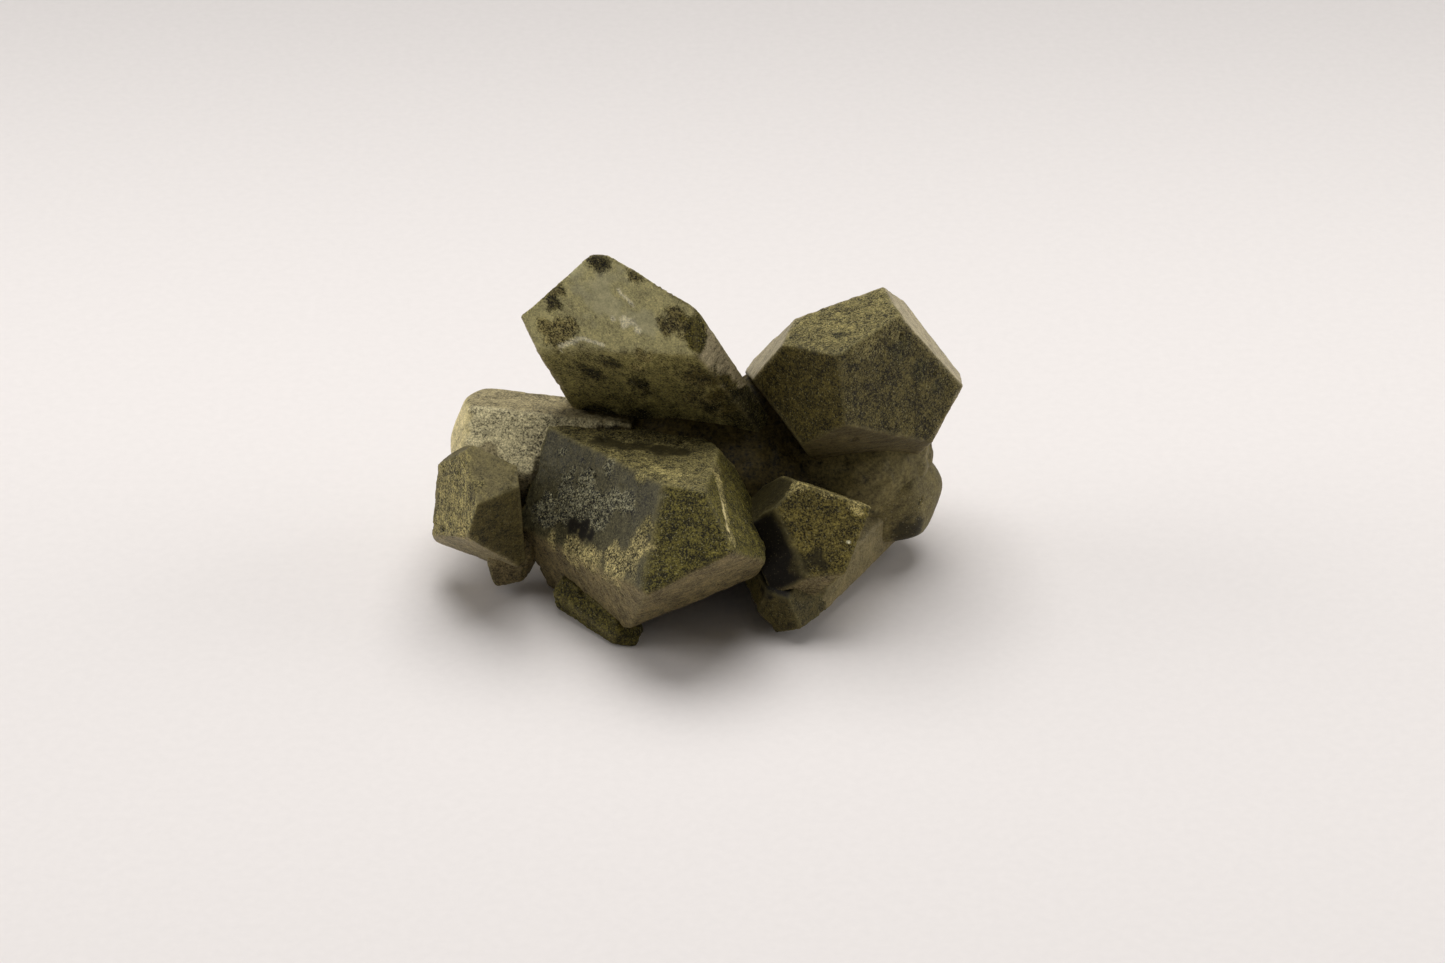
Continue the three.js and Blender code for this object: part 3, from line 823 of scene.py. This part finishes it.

# %% [markdown]
# ## The root
# The crystals stand on a rough mass of older quartz, dark, and painted darker still as the shade
# of the crevices, except towards its right. It is four lumps grown together: in each direction
# from a point inside all four egg shapes, the surface lies about as far out as the furthest of
# them, with the creases between them filled a little.

# %% Make the root
ROOT_GRID = 110
ROOT_CENTRE = np.array([10.5, 7.0, 9.0])
USUAL_REACH = 12                           # mm, kept out of the powers so that they stay small
CREASE = 1.2                               # per mm, less fills the creases more
ROOT_TURNS_PLAIN = (11, 16)                # mm to the right, where the dark finish with its painted shade turns plain
SWELL, RIPPLE, KNOB = 0.9, 0.25, 0.6       # heights of the root's bumps, mm
ROOT_EGGS = [                              # middle and half size of each lump, mm
    ((2.0, 5.5, 8.5), (16, 11, 10.5)), ((16.5, 8, 10.5), (9.5, 8.5, 10)),
    ((8, 8, 13), (7, 7, 8)), ((18, 6, 11), (8.5, 8, 7.5))]


def egg_reach(ways, start, middle_point, half):
    """How far each direction w runs from the start before it leaves the egg: the larger root of
    |(start + t w - middle) / half|^2 = 1."""
    o = (start - middle_point) / half
    w = ways / half
    a, b, c = (w * w).sum(1), w @ o, o @ o - 1
    return (-b + np.sqrt(b * b - a * c)) / a


def grow_root(seed):
    """Points and faces of the root, flat on the floor, and its finish, which turns from dark to
    plain towards the right. The eggs' reaches r are joined as log(sum of exp(c r)) / c."""
    sphere, squares = cube_sphere(ROOT_GRID)
    centre = ROOT_CENTRE + GROUP_SHIFT
    reaches = [egg_reach(sphere, centre, np.array(m) + GROUP_SHIFT, np.array(h))
               for m, h in ROOT_EGGS]
    total = sum(np.exp(CREASE * (r - USUAL_REACH)) for r in reaches)
    reach = np.log(total) / CREASE + USUAL_REACH
    points = centre + reach[:, None] * sphere
    bumps = SWELL * rough(points, 6.0, seed, 4) + RIPPLE * rough(points, 1.6, seed + 9, 3)
    gap, number = grains(points, 2.6, seed + 3)
    bumps += KNOB * (0.5 - gap) * number
    points = points + sphere * bumps[:, None]
    points[:, 2] = np.maximum(points[:, 2], 0)
    right = ease(*ROOT_TURNS_PLAIN, points[:, 0])[:, None]
    look = FINISH_ROWS["root"] * (1 - right) + FINISH_ROWS["plain"] * right
    return points, squares, look, np.zeros(len(points)), points[:, 2].copy()


points, squares, look, edge, along = grow_root(7)
make_piece("root_lump", points, squares, look, edge, along, ROOT, ["root_mass"])

# %% [markdown]
# ## The floor
# A pale cloth lies under the specimen and rises gently far behind it, so that no line shows
# where the floor ends. Less light reaches it there, so its colour falls off towards the back,
# and a fine faint noise stands for the weave.

# %% Make the floor
FLOOR_TINT = (0.80, 0.755, 0.73, 1)
FALL_FROM, FALL_TO, FALL = 0.03, 0.26, 0.42          # metres back, metres back, share of light
WEAVE = 0.06                                         # share by which the weave lightens it


def sweep(width, near, far, rise, n):
    """A sheet: level from near to far, then rising as a quarter of a circle of radius rise."""
    run = np.linspace(0, 1, n)
    level = near + (far - near) * np.minimum(run * 2, 1)
    bend = math.pi / 2 * np.maximum(run * 2 - 1, 0)
    y, z = level + rise * np.sin(bend), rise * (1 - np.cos(bend))
    left = np.column_stack([np.full(n, -width / 2), y, z])
    right = np.column_stack([np.full(n, width / 2), y, z])
    step = np.arange(n - 1)
    faces = np.column_stack([step, n + step, n + step + 1, step + 1])
    return np.vstack([left, right]), faces


verts, faces = sweep(width=4.0, near=-1.2, far=0.9, rise=1.0, n=60)
floor_mesh = bpy.data.meshes.new("floor")
floor_mesh.from_pydata(verts.tolist(), [], faces.tolist())
floor_mesh.polygons.foreach_set("use_smooth", np.ones(len(faces), bool))
floor = bpy.data.objects.new("floor", floor_mesh)
bpy.context.scene.collection.objects.link(floor)
print("floor of", len(faces), "strips")

# %% Cloth
cloth = bpy.data.materials.new("cloth")
cloth.use_nodes = True
tree = cloth.node_tree
shader = tree.nodes["Principled BSDF"]
where = add_node(tree, "ShaderNodeTexCoord")
apart = add_node(tree, "ShaderNodeSeparateXYZ")
tree.links.new(where.outputs["Object"], apart.inputs[0])
fall = add_node(tree, "ShaderNodeMapRange", interpolation_type="SMOOTHSTEP", From_Min=FALL_FROM,
                From_Max=FALL_TO)
tree.links.new(apart.outputs["Y"], fall.inputs["Value"])
weave = add_node(tree, "ShaderNodeTexNoise", Scale=900.0, Detail=2.0)
tree.links.new(where.outputs["Object"], weave.inputs["Vector"])
tone = math_node(tree, "MULTIPLY_ADD", fall.outputs[0], -FALL, 1.0)
threads = math_node(tree, "SUBTRACT", weave.outputs["Fac"], 0.5)
tone = math_node(tree, "MULTIPLY_ADD", threads, WEAVE, tone)
tree.links.new(mix_colour(tree, 1.0, FLOOR_TINT, tone, "MULTIPLY"), shader.inputs["Base Color"])
shader.inputs["Roughness"].default_value = 0.9
floor_mesh.materials.append(cloth)


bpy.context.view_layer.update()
print("made in", round(time.time() - started, 1), "s")
